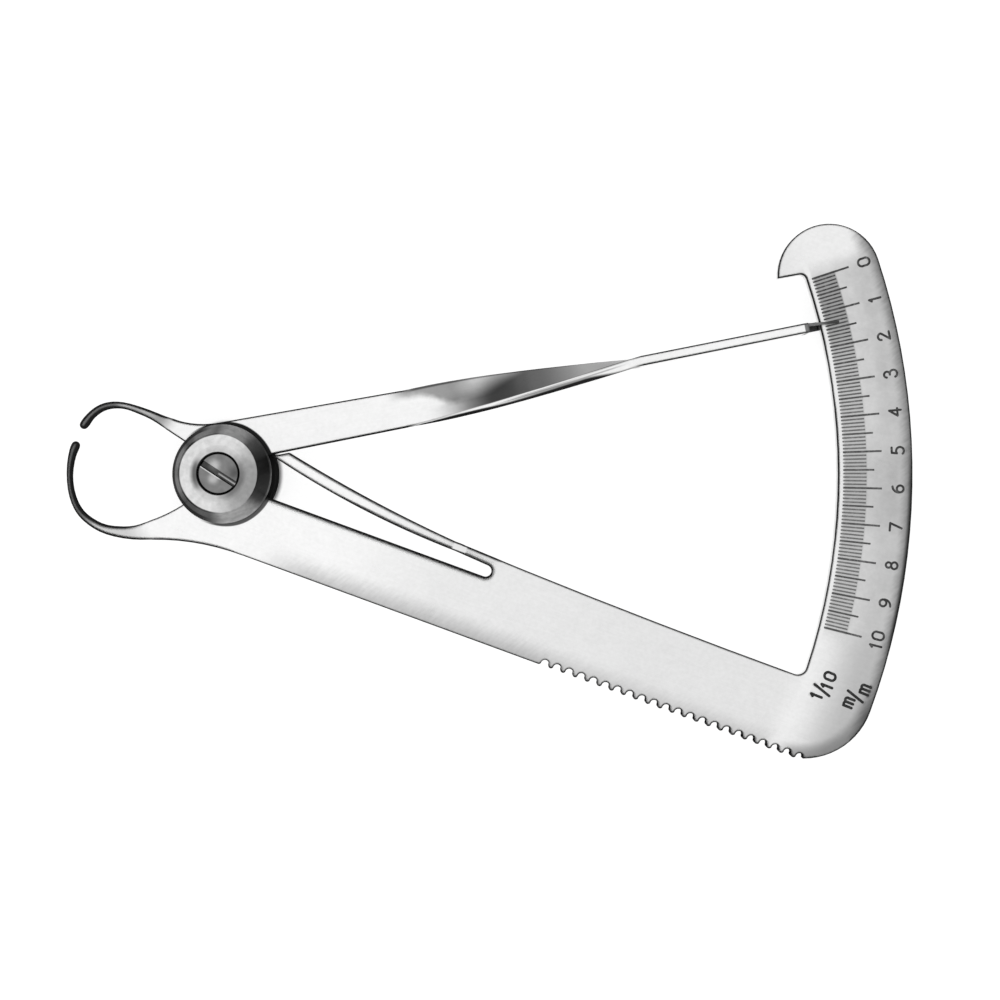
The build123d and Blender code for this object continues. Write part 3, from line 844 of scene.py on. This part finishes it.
@dataclass(frozen=True)
class KnobSteel(Steel):
    """The knob's turned steel, with painted light and shade: bright on its face and dark on its
    bevel.
    """

    grain: Grain = Grain.ROUND
    roughness: float = 0.4
    line_share: float = 0.08
    rim_width: float = 0.12
    top_radius: float = 4.6
    rim_radius: float = 5.87
    hole_radius: float = 2.5
    bevel_plain: float = 0.1
    bevel_light_fans: tuple[Triple, ...] = (
        (0.3, 69.0, 25.0),
        (0.54, 292.0, 36.0),
        (0.11, 115.0, 22.0),
        (0.1, 157.0, 20.0),
        (0.1, 195.0, 14.0),
    )
    bevel_shades: tuple[Triple, ...] = ((0.97, 3.0, 46.0), (0.7, 225.0, 20.0), (0.8, 135.0, 13.0))
    cloud_grain: float = 0.65
    face_light: float = 0.74
    ring_shade_fans: tuple[Triple, ...] = ((0.6, 182.0, 50.0), (0.25, 330.0, 60.0))

    def painted_edge_shade(self, sheet: NodeSheet) -> Level:
        """Give where painted shade makes the surface dark and matt: its wall, its hole and part of
        its bevel.
        """
        radius = sheet.radius()
        wall = 0.9 * radius.rise(-0.7, -0.45, about=self.rim_radius)
        wall = wall * sheet.bearing().size().rise(88.0, 118.0)
        hole = radius.rise(0.1, 0.0, about=self.hole_radius)
        return wall.most(hole).most(0.35 * self.bevel(sheet))

    def bevel(self, sheet: NodeSheet) -> Level:
        """Give where the bevel is."""
        shift = 0.1 * sheet.bearing().size().rise(80.0, 110.0)
        return (sheet.radius() + shift).rise(-0.08, 0.04, about=self.top_radius)

    def tone(self, sheet: NodeSheet) -> Level | float:
        """Give the surface's brightness, with its painted fans of light and shade."""
        radius = sheet.radius()
        clouds = sheet.noise(sheet.place(), self.cloud_grain, detail=3.0)
        # Painted shade on the right of the face, and darker painted shade round the hole.
        face = (self.face_light - 0.4 * fan(sheet, 340.0, 85.0)) * (1 + 0.25 * clouds)
        ring = fanned(sheet, 0.2, self.ring_shade_fans)
        face = face * (1 - radius.rise(3.5, 2.8) * ring)
        # Painted light and shade on the bevel, and a painted highlight on its lip.
        bevel = fanned(sheet, self.bevel_plain, self.bevel_light_fans)
        for loss, angle, width in self.bevel_shades:
            bevel = bevel * (1 - loss * fan(sheet, angle, width))
        bevel = bevel * (1 + 0.35 * radius.rise(5.5, self.rim_radius))
        lip = 0.16 * fan(sheet, 352.0, 42.0) * radius.rise(-0.17, -0.09, about=self.rim_radius)
        bevel = (bevel + lip) * (1 + 0.4 * clouds)
        return blended(face, bevel, self.bevel(sheet))


@dataclass(frozen=True)
class ScrewSteel(Steel):
    """The screw's darker steel, with painted light and shade on its head, painted shade in its
    slot, and painted highlights on a strip in the slot and along one edge of it.
    """

    grain: Grain = Grain.ROUND
    roughness: float = 0.35
    rim_width: float = 0.12
    plain: float = 0.22
    patches: tuple[Patch, ...] = (
        (0.3, (-0.45, 0.95, 0.0), 1.1),
        (0.32, (-0.55, -0.6, 0.0), 0.95),
        (-0.12, (1.9, 0.1, 0.0), 1.2),
    )
    cloud_grain: float = 0.7
    head_top: float = 7.95
    slot_turn: float = -33.0
    slot_width: float = 0.7
    strip_highlight_tone: float = 0.4
    lip_highlight_tone: float = 0.75

    def tone(self, sheet: NodeSheet) -> Level | float:
        """Give the surface's brightness, with its painted light and shade."""
        slot = sheet.place(turn=self.slot_turn)
        along, across, height = (sheet.axis(slot, name) for name in "XYZ")
        # Painted light and shade patches on the domed head.
        tone = self.plain
        for gain, centre, size in self.patches:
            tone = tone + gain * sheet.patch(centre, size)
        clouds = sheet.noise(sheet.place(), self.cloud_grain, detail=3.0)
        tone = tone * (1 + 0.3 * clouds)
        # Painted shade in the slot, with a painted highlight on a strip in it and on its lip.
        low = height.rise(-0.25, -0.45, about=self.head_top)
        strip = across.span(-0.16, -0.04, 0.02, 0.14) * along.rise(-0.2, 0.1)
        tone = blended(tone * (1 - 0.7 * low), self.strip_highlight_tone, strip * low)
        lip = across.span(-0.2, -0.06, 0.0, 0.1, about=-self.slot_width / 2)
        lip = lip * along.rise(0.9, 0.2) * height.rise(-0.3, -0.2, about=self.head_top)
        return blended(tone, self.lip_highlight_tone, lip)


@dataclass(frozen=True)
class LinePaint:
    """Dark paint rubbed into engraved lines, worn away in places."""

    name: str
    dark: float = 0.05
    worn: float = 0.2
    patches: float = 0.1
    faded: float = 0.12
    grain_size: float = 0.2
    roughness: float = 0.62
    shine: float = 0.1

    def make(self) -> bpy.types.Material:
        """Build the material."""
        material, sheet = new_sheet(self.name)
        place = sheet.place()
        patches = sheet.noise(place, 0.9, detail=3.0)
        grains = sheet.noise(place, self.grain_size)
        faded = self.faded * sheet.axis(place, "Y").rise(22.0, 2.0)
        worn = self.patches * patches.rise(-0.1, 0.5) + self.worn * grains.rise(0.15, 0.6)
        shader = sheet.node(
            "ShaderNodeBsdfPrincipled",
            {},
            {
                "Base Color": sheet.grey(self.dark + faded + worn),
                "Specular IOR Level": self.shine,
                "Roughness": self.roughness + 0.1 * grains,
                "Normal": sheet.bump(grains, 0.01, None),
            },
        )
        close_sheet(sheet, shader.outputs["BSDF"])
        return material


def dress(nodes: tuple[str, ...], material: bpy.types.Material) -> None:
    """Give CAD nodes their material.

    Args:
        nodes: The names of the nodes.
        material: The material.
    """
    for name in nodes:
        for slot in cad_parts[name].material_slots:
            slot.material = material
        log.info("%s is dressed in %s", name, material.name)


def turned(distance: float, offset: float, angle: float) -> Vector:
    """Give the point at a distance along a line from the pivot and an offset to its left."""
    return polar(distance, angle) + polar(offset, angle + 90)


def bowed(start: Vector, end: Vector, bow: float, share: float) -> Vector:
    """Give a point of a shallow arc.

    Args:
        start: Where the arc starts.
        end: Where it ends.
        bow: How far its middle stands to the left of the straight line.
        share: How far along it the point is, from 0 to 1, and beyond either end.

    Returns:
        The point.
    """
    run = end - start
    left = Vector((-run.y, run.x, 0.0)).normalized()
    return start + run * share + left * (4 * bow * share * (1 - share))


@dataclass
class SpringLeaf:
    """The leaf that the slot cuts out of the arm, laid over the frame's stub at its root."""

    arm_angle: float = -20.14
    pointer_angle: float = 11.311
    root_distance: float = 28.72
    root_high: float = 1.958
    root_low: float = 0.932
    root_lap: float = 0.7
    root_sink: float = 0.4
    root_shrink: float = 0.95
    tip_high: float = 8.2
    tip_low: float = 6.2
    tip_offset: float = 0.945
    high_bow: float = 0.34
    low_bow: float = 0.67
    bottom: float = 3.0
    thick: float = 1.6
    proud: float = 0.003
    edge_break: float = 0.15
    edge_segments: int = 2
    rim_angle: float = 60.0
    length_steps: int = 48
    bend_length: float = 9.0
    near: float = 1e-4

    def lay_strip(self, mesh: bmesh.types.BMesh) -> list[bmesh.types.BMEdge]:
        """Lay the leaf's lower face as a strip from its root to its tip.

        Args:
            mesh: The empty mesh.

        Returns:
            The edges at the root.
        """
        root_high = turned(self.root_distance, self.root_high, self.arm_angle)
        root_low = turned(self.root_distance, self.root_low, self.arm_angle)
        tip_high = turned(self.tip_high, self.tip_offset, self.pointer_angle)
        tip_low = turned(self.tip_low, self.tip_offset, self.pointer_angle)
        bmesh.ops.create_grid(mesh, x_segments=self.length_steps, y_segments=1, size=0.5)
        for vertex in mesh.verts:
            share = vertex.co.x + 0.5
            if vertex.co.y > 0:
                spot = bowed(root_high, tip_high, self.high_bow, share)
            else:
                spot = bowed(root_low, tip_low, self.low_bow, share)
            vertex.co = spot + Vector((0.0, 0.0, self.bottom - self.proud))
        at_root = {
            vertex
            for vertex in mesh.verts
            if min((vertex.co.xy - root.xy).length for root in (root_high, root_low)) < self.near
        }
        return [e for e in mesh.edges if e.is_boundary and at_root.issuperset(e.verts)]

    def lap_root(self, mesh: bmesh.types.BMesh, root_edges: list[bmesh.types.BMEdge]) -> None:
        """Draw the strip out over the frame's stub.

        Args:
            mesh: The mesh with the strip.
            root_edges: The strip's edges at the root.
        """
        for run in (self.root_lap, self.root_sink):
            lapped = bmesh.ops.extrude_edge_only(mesh, edges=root_edges)["geom"]
            root_edges = [e for e in lapped if isinstance(e, bmesh.types.BMEdge) and e.is_boundary]
            root_edges = [e for e in root_edges if all(v in lapped for v in e.verts)]
            ends = [v for v in lapped if isinstance(v, bmesh.types.BMVert)]
            bmesh.ops.translate(mesh, vec=polar(run, self.arm_angle), verts=ends)

    def thicken(self, mesh: bmesh.types.BMesh) -> None:
        """Give the strip its thickness and break the long edges of both faces."""
        walls = bmesh.ops.extrude_face_region(mesh, geom=mesh.faces[:])["geom"]
        raised = [v for v in walls if isinstance(v, bmesh.types.BMVert)]
        bmesh.ops.translate(mesh, vec=(0.0, 0.0, self.thick + 2 * self.proud), verts=raised)
        bmesh.ops.recalc_face_normals(mesh, faces=mesh.faces[:])
        rims = [e for e in mesh.edges if e.calc_face_angle(0.0) > math.radians(self.rim_angle)]
        bmesh.ops.bevel(
            mesh,
            geom=[e for e in rims if abs(e.verts[0].co.z - e.verts[1].co.z) < self.near],
            offset=self.edge_break,
            offset_type="OFFSET",
            affect="EDGES",
            segments=self.edge_segments,
            profile=0.5,
            material=-1,
        )

    def sink_root(self, mesh: bmesh.types.BMesh) -> None:
        """Shrink the leaf's end a little, so that it lies inside the frame's stub."""
        outward = polar(1.0, self.arm_angle)
        end_distance = self.root_distance + self.root_lap + self.root_sink - self.edge_break
        end = [v for v in mesh.verts if v.co.dot(outward) > end_distance - 10 * self.near]
        centre = sum((v.co for v in end), Vector()) / len(end)
        about = Matrix.Translation(-centre)
        bmesh.ops.scale(mesh, vec=(self.root_shrink,) * 3, space=about, verts=end)

    def build(self, material: bpy.types.Material) -> None:
        """Build the leaf with its root laid over the frame's stub.

        Args:
            material: The sheet steel of the frame.
        """
        mesh = bmesh.new()
        self.lap_root(mesh, self.lay_strip(mesh))
        self.thicken(mesh)
        self.sink_root(mesh)
        bmesh.ops.scale(mesh, vec=(MM, MM, MM), verts=mesh.verts[:])
        data = bpy.data.meshes.new("leaf_blade")
        mesh.to_mesh(data)
        mesh.free()
        data.materials.append(material)
        leaf = bpy.data.objects.new("leaf_blade", data)
        bpy.context.scene.collection.objects.link(leaf)
        root = turned(self.root_distance, 0.0, self.arm_angle) * MM
        bend_end = turned(self.root_distance - self.bend_length, 0.0, self.arm_angle) * MM
        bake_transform(leaf)
        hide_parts("spring_leaf")
        log.info("%s stands for the leaf and bends over %.1f mm", leaf.name, self.bend_length)


@dataclass
class ScaleFrame:
    """The frame with its scale, and the leaf that is one piece with it."""

    arm_angle: float = -20.14
    rim_width: float = 0.5
    rim_strength: float = 6.0

    def build(self) -> None:
        """Dress the frame, and build and dress its leaf."""
        steel = FrameSteel(
            "scale_frame_steel",
            turn=self.arm_angle,
            rim_width=self.rim_width,
            rim_strength=self.rim_strength,
        ).make()
        dress(("scale_frame",), steel)
        SpringLeaf(arm_angle=self.arm_angle).build(steel)


@dataclass
class PointerArm:
    """The arm with the upper jaw, the quarter twist and the forked point."""

    angle: float = 11.311

    def build(self) -> None:
        """Dress the arm."""
        dress(("pointer_arm",), PointerSteel("pointer_arm_steel", turn=self.angle).make())


@dataclass
class PivotStack:
    """The knob, screw, disc, bush and washers on the pivot."""

    # The back disc is near black: painted shade where it lies in shadow below the knob.
    disc: Steel = Steel("disc_steel_painted_shade", grain=Grain.ROUND, plain=0.02, roughness=0.5)
    washers: Steel = Steel("washer_steel", grain=Grain.ROUND, plain=0.45)

    def build(self) -> None:
        """Dress the pieces on the pivot."""
        dress(("front_knob",), KnobSteel("knob_steel_turned").make())
        dress(("pivot_screw",), ScrewSteel("screw_steel_turned").make())
        dress(("back_disc",), self.disc.make())
        dress(("pivot_bush", "thrust_washer", "lock_washer"), self.washers.make())


@dataclass
class ScaleMarks:
    """The painted marks, numerals and label of the scale."""

    paints: tuple[tuple[tuple[str, ...], LinePaint], ...] = (
        (("tenth_marks",), LinePaint("tenth_paint", dark=0.07)),
        (("half_marks", "unit_marks"), LinePaint("mark_paint", dark=0.07, faded=0.03)),
        (("scale_numerals",), LinePaint("numeral_paint", worn=0.12, faded=0.0)),
        (("unit_label",), LinePaint("label_paint", dark=0.03, worn=0.08, patches=0.05, faded=0.0)),
    )

    def build(self) -> None:
        """Dress the marks."""
        for nodes, paint in self.paints:
            dress(nodes, paint.make())


@dataclass
class Studio:
    """A pale floor under a soft overhead light, and the camera of the photograph."""

    floor_size: float = 6.0
    floor_drop: float = 0.00002
    floor_glow: float = 0.78
    floor_color: float = 0.42
    camera_centre: tuple[float, float] = (32.88, -3.08)
    camera_height: float = 205.6
    clip_start: float = 0.01
    lens: float = 61.07
    sensor: float = 36.0
    zenith: float = 1.0
    zenith_ramp: Ramp = (0.4, 0.8)
    middle: float = 0.5
    horizon: float = 0.6
    horizon_ramp: Ramp = (0.4, 0.0)
    disc_radius: float = 6.2
    disc_shade: float = 0.9

    def build_floor(self) -> None:
        """Lay the floor: it glows white for the camera and reflections, keeps shadows, and has a
        painted shadow round the back disc.
        """
        mesh = bmesh.new()
        bmesh.ops.create_grid(mesh, x_segments=1, y_segments=1, size=self.floor_size / 2)
        bmesh.ops.translate(mesh, vec=(0.0, 0.0, -self.floor_drop), verts=mesh.verts[:])
        data = bpy.data.meshes.new("floor")
        mesh.to_mesh(data)
        mesh.free()
        floor = bpy.data.objects.new("floor", data)
        bpy.context.scene.collection.objects.link(floor)
        material, sheet = new_sheet("pale_floor")
        path = sheet.node("ShaderNodeLightPath")
        kinds = ("Camera", "Glossy", "Transmission")
        seen = sum(Level(sheet, path.outputs[f"Is {kind} Ray"]) for kind in kinds).least(1.0)
        color = (self.floor_color,) * 3 + (1.0,)
        matt = sheet.node("ShaderNodeBsdfDiffuse", {}, {"Color": color})
        # Painted shadow on the floor round the back disc.
        under = sheet.radius().rise(0.55, 0.0, about=self.disc_radius)
        strength = self.floor_glow * seen * (1 - self.disc_shade * under)
        glow = sheet.node("ShaderNodeEmission", {}, {"Strength": strength})
        both = sheet.node(
            "ShaderNodeAddShader",
            {},
            {"Shader": matt.outputs["BSDF"], "Shader_001": glow.outputs["Emission"]},
        )
        close_sheet(sheet, both.outputs["Shader"])
        data.materials.append(material)

    def build_light(self) -> None:
        """Make the sky: bright overhead, dim half way down and pale at the horizon."""
        world = bpy.data.worlds.new("studio_sky")
        world.use_nodes = True
        bpy.context.scene.world = world
        sheet = NodeSheet(world.node_tree)
        direction = sheet.node("ShaderNodeTexCoord").outputs["Generated"]
        up = sheet.axis(direction, "Z")
        sky = up.steps(
            self.middle,
            (self.zenith - self.middle, *self.zenith_ramp),
            (self.horizon - self.middle, *self.horizon_ramp),
        )
        background = sheet.node("ShaderNodeBackground", {}, {"Color": WHITE, "Strength": sky})
        close_sheet(sheet, background.outputs["Background"], "World")

    def build_camera(self) -> None:
        """Hang the camera straight above the caliper."""
        data = bpy.data.cameras.new("photo_camera")
        data.lens = self.lens
        data.sensor_width = self.sensor
        data.clip_start = self.clip_start
        camera = bpy.data.objects.new("photo_camera", data)
        camera.location = Vector((*self.camera_centre, self.camera_height)) * MM
        bpy.context.scene.collection.objects.link(camera)
        bpy.context.scene.camera = camera

    def build(self) -> None:
        """Build the floor, the light and the camera."""
        self.build_floor()
        self.build_light()
        self.build_camera()
        bpy.context.scene.view_settings.view_transform = "Standard"


def main() -> None:
    """Build the caliper's looks and the studio round it."""
    logging.basicConfig(level=logging.INFO, format="%(name)s: %(message)s")
    ScaleFrame().build()
    PointerArm().build()
    PivotStack().build()
    ScaleMarks().build()
    Studio().build()


if __name__ == "__main__":
    main()
